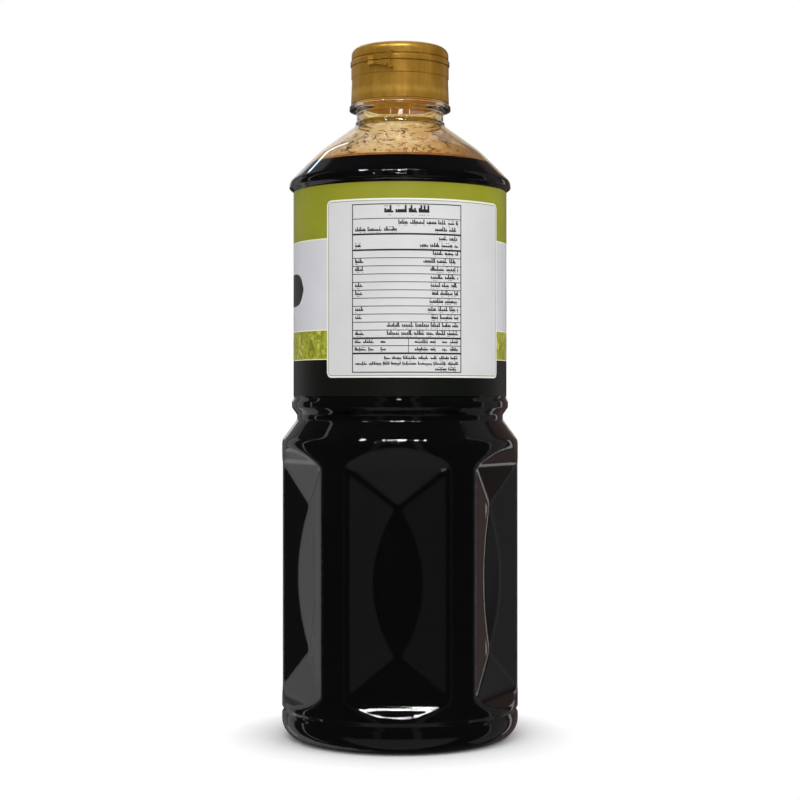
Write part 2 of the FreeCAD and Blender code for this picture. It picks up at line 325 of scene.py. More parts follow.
def base_corners(inset):
    """Corners of the underside and heel, set in by some wall."""
    return [
        (0, PUSH_UP + inset, 0),
        (PUSH_UP_R, PUSH_UP + inset, PUSH_UP_ROUND),
        (FOOT_INNER_R - inset, inset, FOOT_ROUND + inset),
        (BODY_R - inset, inset, HEEL_ROUND - inset),
    ]


def side_corners(inset):
    """Corners from the base groove to the middle of the shoulder, set in by some wall."""
    return [
        (BODY_R - inset, BASE_GROOVE_Z - BASE_GROOVE_HALF, 0.6),
        (BODY_R - BASE_GROOVE_DEPTH - inset, BASE_GROOVE_Z, 0.9),
        (BODY_R - inset, BASE_GROOVE_Z + BASE_GROOVE_HALF, 0.6),
        (BODY_R - inset, BODY_TOP_Z, 4.0),
        (WAIST_R - inset, WAIST_Z - WAIST_HALF, 1.2),
        (WAIST_R - inset, WAIST_Z + WAIST_HALF, 1.2),
        (BEAD_R - inset, BEAD_Z - BEAD_HALF, 0.9),
        (BEAD_R - inset, BEAD_Z + BEAD_HALF, 0.9),
        (PANEL_R - inset, PANEL_BOTTOM_Z, 0.6),
        (PANEL_R - inset, PANEL_TOP_Z, 0.4),
        (SHOULDER_R - inset, PANEL_TOP_Z + SHOULDER_STEP, 0.8),
        (SHOULDER_R - inset, SHOULDER_Z - SHOULDER_TILT * inset, 3.2),
        (SHOULDER_MID[0] - inset, SHOULDER_MID[1] - SHOULDER_TILT * inset, SHOULDER_MID_ROUND),
    ]


NECK_CORNERS = [
    SHOULDER_END + (0.8,),
    (NECK_STEP_R, NECK_STEP_Z - 0.7, 0.3),
    (NECK_STEP_R, NECK_STEP_Z, 0.2),
    (NECK_R, NECK_STEP_Z + 0.5, 0.2),
    (NECK_R, RING_BOTTOM_Z - 0.9, 0.5),
    (RING_R, RING_BOTTOM_Z, 0.4),
    (RING_R, RING_TOP_Z, 0.4),
    (FINISH_R, RING_TOP_Z, 0.3),
    (FINISH_R, MOUTH_Z, 0.5),
    (NECK_BORE_R, MOUTH_Z, 0.4),
]


def inner_neck_corners(inset):
    """The shoulder's inner face keeps its distance from the outer one up to the bore."""
    slope = (SHOULDER_END[1] - SHOULDER_MID[1]) / (SHOULDER_MID[0] - SHOULDER_END[0])
    run = SHOULDER_MID[0] - inset - NECK_BORE_R
    return [(NECK_BORE_R, SHOULDER_MID[1] - SHOULDER_TILT * inset + slope * run, 1.5)]


def body_rings(points, inset, azimuths):
    """Rings for outline points, with the panels set in by the same amount."""
    return [(0.0 if r < 1e-6 else with_facets(r + inset, z, azimuths) - inset, z)
            for r, z in points]


def fine_steps(z):
    """Longest run of the outside at height z."""
    if FACET_BOTTOM_Z - FACET_RUN_BELOW < z < FACET_TOP_Z + FACET_REACH:
        return FACET_RUN
    if z < FACET_BOTTOM_Z:
        return HEEL_RUN
    if SHOULDER_END[1] < z < RING_TOP_Z:
        return NECK_RUN
    shaped = PANEL_TOP_Z < z < RING_TOP_Z or z < PANEL_BOTTOM_Z
    return SHAPED_RUN if shaped else PLAIN_RUN


def coarse_steps(z):
    """Longest run of the inside at height z."""
    if z > PANEL_TOP_Z:
        return INNER_SHOULDER_RUN
    return INNER_FACET_RUN if by_facets(z) else PLAIN_RUN


# ---- Material helpers ----


class Nodes:
    """Nodes and arithmetic in a node tree."""

    def __init__(self, tree):
        self.tree = tree

    def link(self, source, target):
        self.tree.links.new(source, target)

    def feed(self, socket, value):
        """Sets a socket to a number or colour, or links another socket to it."""
        if isinstance(value, tuple):
            socket.default_value = value + (1,)
        elif isinstance(value, (int, float)):
            socket.default_value = value
        else:
            self.link(value, socket)

    def node(self, kind, inputs=None, **settings):
        made = self.tree.nodes.new("ShaderNode" + kind)
        for key, value in settings.items():
            setattr(made, key, value)
        for key, value in (inputs or {}).items():
            self.feed(made.inputs[key], value)
        return made

    def math(self, operation, *values):
        return self.node("Math", dict(enumerate(values)), operation=operation).outputs[0]

    def times(self, first, second):
        return self.math("MULTIPLY", first, second)

    def length(self, vector):
        return self.node("VectorMath", {0: vector}, operation="LENGTH").outputs["Value"]

    def split(self, vector):
        return self.node("SeparateXYZ", {0: vector}).outputs

    def spread(self, factor, low, high, start=0.3, end=0.7, **settings):
        """Low where the factor is at the start, high at the end, and held beyond them."""
        return self.node("MapRange", {"Value": factor, "From Min": start, "From Max": end,
                                      "To Min": low, "To Max": high},
                         **settings).outputs["Result"]

    def within(self, value, middle, half, soft):
        """1 inside the band, falling softly to 0 outside it."""
        away = self.math("ABSOLUTE", self.math("SUBTRACT", value, middle))
        return self.spread(away, 0.0, 1.0, half + soft / 2, half - soft / 2,
                           interpolation_type="SMOOTHSTEP")

    def blend(self, factor, first, second):
        return self.node("Mix", {"Factor": factor, 6: first, 7: second},
                         data_type="RGBA").outputs[2]


class Look(Nodes):
    """A node material with one Principled shader."""

    def __init__(self, name, **values):
        self.material = bpy.data.materials.new(name)
        self.material.use_nodes = True
        super().__init__(self.material.node_tree)
        self.shader = self.tree.nodes["Principled BSDF"]
        self.output = self.tree.nodes["Material Output"]
        for socket, value in values.items():
            self.shader.inputs[socket.replace("_", " ")].default_value = value

    def where(self):
        return self.node("TexCoord").outputs["Object"]

    def noise(self, scale, detail, roughness=0.5, distortion=0.0, stretch=(1, 1, 1)):
        mapping = self.node("Mapping", {"Vector": self.where()})
        mapping.inputs["Scale"].default_value = stretch
        return self.node("TexNoise", {"Vector": mapping.outputs["Vector"], "Scale": scale,
                                      "Detail": detail, "Roughness": roughness,
                                      "Distortion": distortion}).outputs["Fac"]

    def ramp(self, factor, stops):
        made = self.node("ValToRGB", {"Fac": factor})
        elements = made.color_ramp.elements
        while len(elements) < len(stops):
            elements.new(0.5)
        for element, (position, colour) in zip(elements, stops):
            element.position = position
            element.color = tuple(colour) + (1,)
        return made.outputs["Color"]

    def colour(self, source):
        self.link(source, self.shader.inputs["Base Color"])

    def mottle(self, noise, low, high, start=0.35, end=0.65):
        """Base colour that wanders between two."""
        self.colour(self.ramp(noise, [(start, low), (end, high)]))

    def bump(self, height, strength, distance):
        made = self.node("Bump", {"Height": height, "Strength": strength,
                                  "Distance": distance})
        self.link(made.outputs["Normal"], self.shader.inputs["Normal"])

    def mix(self, share, first, second):
        """Shows two shaders mixed: share of the second."""
        made = self.node("MixShader", {"Fac": share, 1: first, 2: second})
        self.link(made.outputs["Shader"], self.output.inputs["Surface"])


def linear(*screen):
    """Scene colour of an 8-bit screen colour."""
    return tuple(v / 12.92 if v <= 0.04045 else ((v + 0.055) / 1.055) ** 2.4
                 for v in (c / 255 for c in screen))


# ---- Materials ----

PET_IOR = 1.57
SAUCE_IOR = 1.38
FOAM_IOR = 1.33
FILM_IOR = 1.5

# Where the stain on the plastic changes, in metres: heights and, to one side, x.
STAIN_THINS_Z = (0.2095, 0.2165)
STAIN_TURNS_GOLD_Z = (0.2243, 0.2256)
STAIN_WARMS_X = (0.002, 0.018)
STAIN_DARKENS_X = (0.006, 0.0305)

CAP_PAINTED_HIGHLIGHT_BAND = (0.2358, 0.0011, 0.0022)  # painted highlight above the cap's foot: middle height, half height, softness
CAP_GLOW_RADII = (0.0083, 0.0088, 0.0002)  # painted glow inside the skirt: middle radius, half width, softness
CAP_GLOW_ENDS_Z = (0.2444, 0.2450)


def clear_plastic():
    look = Look("clear_pet", Base_Color=(0.99, 0.985, 0.97, 1), Roughness=0.02,
                IOR=PET_IOR, Transmission_Weight=1.0)
    look.bump(look.noise(30, 1.0), 0.02, 0.0005)
    return look.material


def dark_sauce():
    look = Look("dark_sauce", Roughness=0.25, IOR=SAUCE_IOR)
    look.shader.inputs["Specular IOR Level"].default_value = 0.0
    look.mottle(look.noise(22, 3.0), (0.0012, 0.0012, 0.0014), (0.0024, 0.0020, 0.0020),
                end=0.70)
    return look.material


def stained_plastic():
    """Inside of the wall above the level, stained by sauce: strong low down, light under
    the neck, golden in the neck, and darker to one side."""
    look = Look("stained_pet", Roughness=0.03, IOR=PET_IOR, Transmission_Weight=1.0)
    x, _, z = look.split(look.where())
    streaks = look.noise(170, 6.0, 0.6, 0.8, stretch=(1, 1, 0.6))
    runs = look.noise(260, 4.0, 0.6, 0.4, stretch=(1, 1, 0.12))
    low = look.ramp(streaks, [(0.32, (0.58, 0.31, 0.065)), (0.60, (0.76, 0.47, 0.145))])
    high = look.ramp(streaks, [(0.32, (0.70, 0.46, 0.20)), (0.56, (0.92, 0.67, 0.36))])
    neck = look.ramp(runs, [(0.35, (0.80, 0.60, 0.22)), (0.65, (0.96, 0.82, 0.44))])
    tone = look.blend(look.spread(z, 0.0, 1.0, *STAIN_THINS_Z), low, high)
    tone = look.blend(look.spread(z, 0.0, 1.0, *STAIN_TURNS_GOLD_Z), tone, neck)
    uneven = look.spread(streaks, 1.0, 0.72, 0.4, 0.62)
    for ends, stain in ((STAIN_WARMS_X, (0.82, 0.43, 0.09)),
                        (STAIN_DARKENS_X, (0.14, 0.032, 0.001))):
        share = look.times(look.spread(x, 0.0, 1.0, *ends), uneven)
        tone = look.blend(share, tone, stain)
    look.colour(tone)
    return look.material


def neck_plastic():
    """The thick moulded neck: clear plastic with a little warm stain."""
    look = Look("neck_pet", Roughness=0.04, IOR=PET_IOR, Transmission_Weight=1.0)
    look.mottle(look.noise(90, 3.0, stretch=(1, 1, 0.3)), (0.95, 0.91, 0.84),
                (0.99, 0.97, 0.94))
    return look.material


def thin_layer(name, roughness, grain, low, high, ends=(0.35, 0.65), film=None,
               ior=SAUCE_IOR):
    """Thin sauce or foam. A film is see-through, by its tint and the sauce's share."""
    look = Look(name, Roughness=roughness, IOR=ior)
    look.mottle(look.noise(*grain), linear(*low), linear(*high), *ends)
    if film:
        tint, share = film
        clear = look.node("BsdfTransparent", {"Color": tint})
        look.mix(share, clear.outputs["BSDF"], look.shader.outputs["BSDF"])
    return look.material


def gold_plastic():
    """Moulded plastic with flow marks and fine grain, a painted highlight as a lighter band
    above its foot, and a painted glow on the faces inside the skirt.
    """
    look = Look("gold_plastic", Metallic=0.55, Roughness=0.33, IOR=1.5)
    x, y, z = look.split(look.where())
    flow = look.noise(42, 4.0, 0.6, 0.9, stretch=(1, 1, 0.6))
    runs = look.spread(look.noise(420, 3.0, stretch=(1, 1, 0.04)), -0.07, 0.07)
    # Painted highlight: the colour is made lighter in a band just above the cap's foot.
    foot = look.times(look.within(z, *CAP_PAINTED_HIGHLIGHT_BAND), 0.16)
    flow = look.math("ADD", look.math("ADD", flow, runs), foot)
    look.colour(look.ramp(flow, [
        (0.30, linear(154, 109, 29)),
        (0.52, linear(179, 132, 44)),
        (0.72, linear(206, 160, 69)),
    ]))
    look.link(look.spread(look.noise(1500, 2.0), 0.29, 0.38),
              look.shader.inputs["Roughness"])
    look.bump(look.noise(300, 3.0, stretch=(1, 1, 0.08)), 0.25, 0.0002)
    # Painted glow: an emission on the faces inside the skirt stands in for light from outside
    # shining a little through it.
    radius = look.length(look.node("CombineXYZ", {0: x, 1: y}).outputs[0])
    painted_glow = look.times(look.within(radius, *CAP_GLOW_RADII),
                         look.spread(z, 1.0, 0.0, *CAP_GLOW_ENDS_Z))
    look.shader.inputs["Emission Color"].default_value = linear(128, 95, 22) + (1,)
    look.link(painted_glow, look.shader.inputs["Emission Strength"])
    return look.material


def film_colour(name, low, high, roughness=0.42):
    """Printed label film: a field of colour with a little unevenness in the ink."""
    look = Look(name, Roughness=roughness, IOR=FILM_IOR)
    look.mottle(look.noise(60, 5.0), linear(*low), linear(*high), 0.3, 0.7)
    look.bump(look.noise(45, 3.0), 0.15, 0.0003)
    return look.material


def mottled_green():
    """Printed leaf texture: green flecked with cream and darker green."""
    look = Look("label_mottled", Roughness=0.42, IOR=FILM_IOR)
    flecks = look.noise(300, 8.0, 0.68, 1.2, stretch=(1, 1, 0.85))
    look.colour(look.ramp(flecks, [
        (0.36, linear(112, 116, 12)),
        (0.45, linear(142, 146, 20)),
        (0.53, linear(162, 164, 36)),
        (0.61, linear(194, 190, 86)),
        (0.70, linear(214, 208, 132)),
    ]))
    return look.material


# ---- Bottle and sauce ----

SAUCE_INSET = WALL * 0.6  # the sauce reaches just into the wall: no gap of air shows
MENISCUS_CLIMB = 1.1  # it turns up where it meets the wall
MENISCUS_REACH = 1.6
MENISCUS_RINGS = 8
MENISCUS_STEP = 0.7
MENISCUS_END = 14
SAUCE_COARSER = 1.5  # its runs, compared with those of the outside


def build_bottle(clear, stained, neck):
    """The shell, outside and inside: clear, but stained inside above the sauce."""
    azimuths = body_azimuths(36, 9, 2)
    outside = outline_points(base_corners(0) + side_corners(0) + NECK_CORNERS + [
        (NECK_BORE_R, NECK_STEP_Z, 0)])[:-1]
    inside = outline_points(base_corners(WALL) + side_corners(WALL)
                            + inner_neck_corners(WALL) + [(NECK_BORE_R, MOUTH_Z - 0.4, 0)],
                            arc_step=20.0)[:-1]
    inner = []
    for radii, z in body_rings(subdivided(inside, coarse_steps), WALL, azimuths):
        hidden = HIDDEN_WALL_FROM_Z < z < HIDDEN_WALL_TO_Z
        inner.append((radii - HIDDEN_WALL if hidden else radii, z))
    outer = body_rings(subdivided(outside, fine_steps), 0, azimuths)
    looks = [clear, stained, neck]
    slots = [looks.index(neck if z > NECK_STEP_Z else clear) for _, z in outer[:-1]]
    slots.append(looks.index(stained))
    slots += [looks.index(stained if z > STAIN_FROM_Z else clear) for _, z in inner[::-1]]
    bottle = lathe("bottle_shell", outer + inner[::-1], azimuths, looks, slots)
    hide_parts("bottle")
    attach(bottle, "container")


def inner_radius(z, inset):
    """Radius at height z of the face set in from the shoulder's outer one."""
    points = outline_points(side_corners(inset) + inner_neck_corners(inset))
    heights = [p[1] for p in points]
    return float(np.interp(z, heights, [p[0] for p in points]))


def build_sauce(liquid):
    azimuths = body_azimuths(30, 6, 2)
    corners = base_corners(SAUCE_INSET) + side_corners(SAUCE_INSET)
    side = [p for p in outline_points(corners) if p[1] < LEVEL_Z]
    side.append(np.array([inner_radius(LEVEL_Z, SAUCE_INSET), LEVEL_Z]))
    rings = body_rings(subdivided(side, lambda z: fine_steps(z) * SAUCE_COARSER),
                       SAUCE_INSET, azimuths)
    rim = inner_radius(LEVEL_Z + MENISCUS_CLIMB, SAUCE_INSET)
    rings.append((rim, LEVEL_Z + MENISCUS_CLIMB))
    for step in range(1, MENISCUS_RINGS + 1):
        away = step * MENISCUS_STEP
        rise = MENISCUS_CLIMB * math.exp(-away / MENISCUS_REACH)
        rings.append((rim - away, LEVEL_Z + rise))
    rings.append((rim - MENISCUS_END, LEVEL_Z))
    rings.append((0.0, LEVEL_Z))
    sauce = lathe("sauce_fill", rings, azimuths, [liquid])
    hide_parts("sauce")
    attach(sauce, "container")


class Trails:
    """Small closed strokes and drops of sauce that lie on the inner face of the wall."""

    SIDES = 6
    INSIDE_WALL = 0.03
    CURL_STEPS = 7

    def __init__(self):
        self.verts, self.faces = [], []
        outline = outline_points(side_corners(WALL) + inner_neck_corners(WALL)
                                 + [(NECK_BORE_R, MOUTH_Z, 0)])
        self.heights = [p[1] for p in outline]
        self.radii = [p[0] for p in outline]

    def on_wall(self, azimuth, z):
        r = float(np.interp(z, self.heights, self.radii)) - self.INSIDE_WALL
        return np.array(at(math.radians(azimuth), r, z))

    def inward(self, azimuth, z):
        """Direction off the wall's inner face."""
        r0 = np.interp(z - 0.5, self.heights, self.radii)
        r1 = np.interp(z + 0.5, self.heights, self.radii)
        a = math.radians(azimuth)
        return unit(np.array([-math.sin(a), math.cos(a), r1 - r0]))

    def stroke(self, path, width, thick):
        """A tapered bead of sauce along a path of (azimuth, z)."""
        points = [self.on_wall(*p) for p in path]
        sides = self.SIDES
        first = len(self.verts)
        last = len(points) - 1
        for k, (point, place) in enumerate(zip(points, path)):
            inward = self.inward(*place)
            if k in (0, last):
                self.verts.append(point + inward * 0.01)
                continue
            along = points[k + 1] - points[k - 1]
            side = unit(np.cross(along, inward))
            full = math.sin(math.pi * k / last) ** 0.6
            for turn in range(sides):
                angle = 2 * math.pi * turn / sides
                self.verts.append(point + side * math.cos(angle) * width * full / 2
                                  + inward * (thick * full * (0.5 + 0.5 * math.sin(angle))))
        rings = last - 1
        for k in range(rings - 1):
            a = first + 1 + sides * k
            b = a + sides
            for turn, n in around(sides):
                self.faces.append((a + turn, b + turn, b + n, a + n))
        end = first + 1 + sides * rings
        for turn, n in around(sides):
            self.faces.append((first, first + 1 + turn, first + 1 + n))
            self.faces.append((end, end - sides + n, end - sides + turn))

    def curl(self, rng, azimuth, z, length, width, bend=0.0, lean=0.0):
        """A stroke that sets off at some lean and bends as it goes."""
        steps = self.CURL_STEPS
        step = length / steps
        heading = math.radians(lean)
        path = [(azimuth, z)]
        for _ in range(steps):
            r = float(np.interp(path[-1][1], self.heights, self.radii))
            path.append((path[-1][0] + math.degrees(step * math.cos(heading) / r),
                         path[-1][1] + step * math.sin(heading) * 0.7))
            heading += math.radians(bend / steps + rng.uniform(-14, 14))
        self.stroke(path, width, width * 0.45)


# Where the strokes crowd: middle and spread of azimuth, lowest and highest start, count.
TRAIL_CLUSTERS = (
    (34, 6, 214.8, 219.6, 46),
    (-40, 7, 214.4, 216.4, 16),
    (158, 8, 216.5, 220.0, 14),
    (232, 8, 215.6, 219.6, 22),
)
TRAILS_ALL_ROUND = 190
TRAILS_TOP_Z = 223.0
TRAILS_DEPTH = 6.0
SPECKS_AT_LEVEL = 60
LONG_RUNS = 14
DROPS = ((3.5, 219.2, 1.6), (-9, 216.5, 0.6), (22, 221.2, 0.8),  # azimuth, z, size
         (118, 217.5, 1.2), (205, 219.0, 1.4), (290, 218.2, 0.9))
DROP_R = 25  # about the wall's radius where the drops sit

BUBBLES = ((24.5, 1.5), (27.5, 0.7), (-14, 0.55), (-31, 0.8), (70, 0.9),  # azimuth, size
           (131, 1.2), (172, 0.6), (228, 1.0), (262, 0.6), (301, 0.9))
BUBBLE_SIDES = 14
BUBBLE_RINGS = 5
BUBBLE_HEIGHT = 0.8

RIM_SIDES = 180
RIM_FROM_Z = LEVEL_Z + 0.2
RIM_TO_Z = LEVEL_Z + 1.9


def build_trails(brown, reddish):
    """Fine strokes of sauce left inside the shoulder, thicker on one side."""
    rng = random.Random(11)
    fine = Trails()
    for _ in range(TRAILS_ALL_ROUND):
        z = TRAILS_TOP_Z - TRAILS_DEPTH * rng.random() ** 1.3
        fine.curl(rng, rng.uniform(0, 360), z, rng.uniform(0.5, 3.4),
                  rng.uniform(0.26, 0.50), lean=rng.choice((0, 0, 12, -12, 30, -30)))
    for _ in range(SPECKS_AT_LEVEL):
        fine.curl(rng, rng.uniform(0, 360), rng.uniform(210.2, 212.5),
                  rng.uniform(0.4, 2.2), rng.uniform(0.16, 0.3))
    for middle, spread, low, high, count in TRAIL_CLUSTERS:
        for _ in range(count):
            fine.curl(rng, middle + rng.gauss(0, spread), rng.uniform(low, high),
                      rng.uniform(1.5, 5.0), rng.uniform(0.34, 0.60),
                      bend=rng.uniform(-160, 160), lean=rng.uniform(-40, 20))
    for _ in range(LONG_RUNS):
        azimuth = rng.uniform(50, 80)
        fine.stroke([(azimuth + 0.3 * k, 219.5 - 1.15 * k) for k in range(9)],
                    rng.uniform(0.3, 0.7), 0.12)
    trails = make_object("sauce_trails", fine.verts, fine.faces, [brown])
    drops = Trails()
    for azimuth, z, size in DROPS:
        half = math.degrees(size / 2 / DROP_R)
        drops.stroke([(azimuth + half * (k - 4) / 4, z) for k in range(9)], size * 0.8,
                     size * 0.3)
    beads = make_object("sauce_drops", drops.verts, drops.faces, [reddish])
    for piece in (trails, beads):
        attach(piece, "container")


def build_bubbles(skin):
    """Small domes of foam where the sauce meets the wall."""
    verts, faces = [], []
    sides, up = BUBBLE_SIDES, BUBBLE_RINGS
    for azimuth, size in BUBBLES:
        r = inner_radius(LEVEL_Z + 1.2, WALL) - size * 1.15
        middle = np.array(at(math.radians(azimuth), r, LEVEL_Z + 0.2))
        first = len(verts)
        for level in range(up):
            rise = math.radians(90 * level / up)
            for k in range(sides):
                turn = 2 * math.pi * k / sides
                verts.append(middle + size * np.array([
                    math.cos(turn) * math.cos(rise), math.sin(turn) * math.cos(rise),
                    BUBBLE_HEIGHT * math.sin(rise)]))
        verts += [middle + np.array([0, 0, BUBBLE_HEIGHT * size]), middle]
        for level in range(up - 1):
            low = first + level * sides
            high = low + sides
            for k, n in around(sides):
                faces.append((low + k, low + n, high + n, high + k))
        top = first + up * sides
        for k, n in around(sides):
            faces.append((top - sides + k, top - sides + n, top))
            faces.append((first + n, first + k, top + 1))
    foam = make_object("foam_bubbles", verts, faces, [skin])
    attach(foam, "container")


def build_rim(amber):
    """Ring of thin sauce on the wall just above the level."""
    low, high = RIM_FROM_Z, RIM_TO_Z
    wall = [(inner_radius(z, WALL) - 0.01, z) for z in np.linspace(low, high, 5)]
    face = [(inner_radius(high, WALL) - 0.15, high), (inner_radius(low, WALL) - 1.0, low)]
    ring = lathe("sauce_rim", wall + face, even_azimuths(RIM_SIDES), [amber])
    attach(ring, "container")


# ---- Label ----

LABEL_BANDS = (  # top of each band, from the label's foot upwards
    (137.7, "dark"),
    (138.0, "line"),
    (148.0, "mottled"),
    (148.4, "line"),
    (180.2, "white"),
    (180.6, "line"),
    (199.5, "green"),
)
LABEL_BOTTOM_Z = 124.9
LABEL_INNER_R = PANEL_R + 0.02
LABEL_SIDES = 240


def build_label(looks):
    """The film all the way round, its fields of colour as bands."""
    names = list(looks)
    outside, slots = [(LABEL_R, LABEL_BOTTOM_Z)], []
    for top, name in LABEL_BANDS:
        slots.append(names.index(name))
        outside.append((LABEL_R, top))
    inside = [(LABEL_INNER_R, outside[-1][1]), (LABEL_INNER_R, LABEL_BOTTOM_Z)]
    slots += [names.index("white")] * 3       # the top edge, the inside and the foot edge
    label = lathe("label_wrap", outside + inside, even_azimuths(LABEL_SIDES),
                  list(looks.values()), slots)
    label.data.set_sharp_from_angle(angle=math.radians(40))
    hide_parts("label")
    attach(label, "container")


# ---- Sticker and its print ----

LONGEST_STRIP = 1.6
PRINT_PROUD = 0.012
PRINT_DEPTH = 0.03
OUTLINE_STEPS = 12


class Bent:
    """Flat pieces laid round the bottle: across in mm along the arc, up in mm."""

    def __init__(self, radius, middle=(STICKER_FROM + STICKER_TO) / 2):
        self.radius = radius
        self.middle = math.radians(middle)
        self.verts, self.faces, self.slots = [], [], []

    def point(self, across, up, proud):
        return at(self.middle + across / self.radius, self.radius + proud, up)

    def strips(self, left, right, bottom, top, proud, depth, slot):
        """A closed plate between two uprights; bottom and top are functions of across."""
        count = max(1, math.ceil((right - left) / LONGEST_STRIP))
        first = len(self.verts)
        for k in range(count + 1):
            across = left + (right - left) * k / count
            low, high = bottom(across), top(across)
            self.verts += [self.point(across, up, out) for up, out in (
                (low, proud), (high, proud), (high, proud - depth), (low, proud - depth))]
        for k in range(count):
            a, b = first + 4 * k, first + 4 * (k + 1)
            for side, n in around(4):
                self.faces.append((a + side, b + side, b + n, a + n))
                self.slots.append(slot)
        last = first + 4 * count
        self.faces += [(first + 3, first + 2, first + 1, first)[::-1],
                       (last, last + 1, last + 2, last + 3)[::-1]]
        self.slots += [slot, slot]

    def bar(self, left, right, bottom, top, proud=PRINT_PROUD, slot=0):
        self.strips(left, right, lambda _: bottom, lambda _: top, proud, PRINT_DEPTH, slot)

    def outline(self, x, z, half, rise, power, slot):
        """A plate whose half height follows 1 - |across| ** power: a leaf at 2, a bar
        with rounded ends at a high power."""
        def lift(across):
            share = min(1.0, abs(across - x) / half)
            return rise * (1 - share ** power) + 0.01

        for k in range(2 * OUTLINE_STEPS):
            a, b = (half * math.sin(math.pi / 2 * (k + n - OUTLINE_STEPS) / OUTLINE_STEPS)
                    for n in (0, 1))
            self.strips(x + a, x + b, lambda across: z - lift(across),
                        lambda across: z + lift(across), PRINT_PROUD, PRINT_DEPTH, slot)

    def finish(self, name, looks):
        return make_object(name, self.verts, self.faces, looks, self.slots, smooth=False)


FRONT_MIDDLE = -137.0
FRONT_BAR = (0.0, 163.2, 51.5, 5.9, 26)  # x, z, half width, half height, power
FRONT_RULES_Z = (151.4, 153.0, 173.8, 175.4)
FRONT_RULE_HALF = 33.0
FRONT_LEAVES = ((-17.5, 190.2, 7.0, 2.2), (0.0, 190.6, 8.5, 3.0), (17.5, 190.2, 7.0, 2.2))
FRONT_DASHES = ((133.9, 34.0), (131.6, 26.0), (129.3, 30.0))  # z and half width
DASH_STEP = 8.0
DASH = 5.6


def build_front_print(cream, dark, green):
    """The front's plain shapes: a dark bar, rules, leaves and rows of dashes."""
    in_cream, in_dark, in_green = range(3)
    front = Bent(LABEL_R, FRONT_MIDDLE)
    front.outline(*FRONT_BAR, slot=in_dark)
    for z in FRONT_RULES_Z:
        front.bar(-FRONT_RULE_HALF, FRONT_RULE_HALF, z, z + 0.5, slot=in_green)
    for x, z, half, rise in FRONT_LEAVES:
        front.outline(x, z, half, rise, 2, slot=in_cream)
        front.bar(x - half + 1.0, x + half - 1.0, z - 0.15, z + 0.15, 0.03, slot=in_green)
    for z, wide in FRONT_DASHES:
        for k in range(int(2 * wide / DASH_STEP)):
            left = -wide + DASH_STEP * k + 0.9 * (k % 3)
            front.bar(left, left + DASH + 0.9 * (k % 2), z, z + 0.7, slot=in_cream)
    shapes = front.finish("label_print", [cream, dark, green])
    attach(shapes, "container")


STICKER_BOTTOM_Z = 131.3
STICKER_TOP_Z = 193.7
STICKER_CORNER = 2.0
STICKER_LEAST_CORNER = 0.6
# Its border, keyline and paper: how far set in, how proud and how thick.
STICKER_LAYERS = ((0.0, 0.0, 0.10), (0.62, 0.010, 0.05), (0.88, 0.020, 0.05))
STICKER_HALF = STICKER_R * math.radians(STICKER_TO - STICKER_FROM) / 2


def rounded_plate(sheet, inset, proud, depth, slot):
    """A plate of the sticker's outline, set in."""
    half = STICKER_HALF - inset
    low, high = STICKER_BOTTOM_Z + inset, STICKER_TOP_Z - inset
    corner = max(STICKER_CORNER - inset, STICKER_LEAST_CORNER)

    def lift(across):
        past = max(0.0, abs(across) - (half - corner))
        return corner - math.sqrt(max(0.0, corner ** 2 - past ** 2))

    edges = [corner * (1 - math.cos(math.radians(a))) for a in range(0, 91, 15)]
    stops = [-half + e for e in edges] + [half - e for e in edges[::-1]]
    for left, right in zip(stops, stops[1:]):
        sheet.strips(left, right, lambda across: low + lift(across),
                     lambda across: high - lift(across), proud, depth, slot)


def build_sticker(paper, border, keyline, ink):
    sheet = Bent(STICKER_R)
    for slot, layer in enumerate(STICKER_LAYERS):
        rounded_plate(sheet, *layer, slot)
    sticker = sheet.finish("sticker", [border, keyline, paper])
    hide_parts("sticker")
    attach(sticker, "container")

    marks = Bent(STICKER_R + STICKER_LAYERS[-1][1])
    draw_table(marks)
    printed = marks.finish("sticker_print", [ink])
    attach(printed, "container")


TABLE_LEFT = -24.4
TABLE_RIGHT = 15.6
TABLE_TOP_Z = 191.8
TABLE_BOTTOM_Z = 133.0
FRAME_LINE = 0.34
THIN_RULE = 0.26
THICK_RULE = 0.60
ROWS_TOP_Z = 175.7
ROW = 2.79
ROW_COUNT = 11
SHORT_ROWS = 9  # of the rows, those with short entries
SPLIT_ROW = 2.65
SPLIT_ENTRIES = ((TABLE_LEFT + 1.0, 7.0), (TABLE_LEFT + 10.5, 1.8), (-2.0, 7.5), (8.0, 1.8),
                 (11.0, 3.2))     # left end and width
DIVIDER_X = -4.3
FOOTNOTES = (27.0, 37.5, 9.0)
FOOTNOTE_STEP = 1.95
WORD = (2.2, 5.2)
WORD_GAP = (0.5, 0.9)
MARK_STEP = (0.42, 0.8)
MARK_HEIGHTS = (0.45, 0.6, 0.6, 1.0)


def scribble(marks, rng, left, right, bottom, tall, weight=0.38):
    """A greeked word: a broken base stroke with upright and dotted marks, no letters."""
    place = left
    while place < right - 0.4:
        word = min(right, place + rng.uniform(*WORD))
        base = bottom + tall * 0.28
        marks.bar(place, word, base, base + weight)
        x = place
        while x < word - weight:
            height = tall * rng.choice(MARK_HEIGHTS)
            marks.bar(x, x + weight, base, base + height * 0.72)
            if rng.random() < 0.35:
                marks.bar(x + 0.1, x + 0.42, bottom, bottom + 0.22)
            if rng.random() < 0.2:
                marks.bar(x, x + 0.5, base + tall * 0.62, base + tall * 0.62 + 0.2)
            x += rng.uniform(*MARK_STEP)
        place = word + rng.uniform(*WORD_GAP)


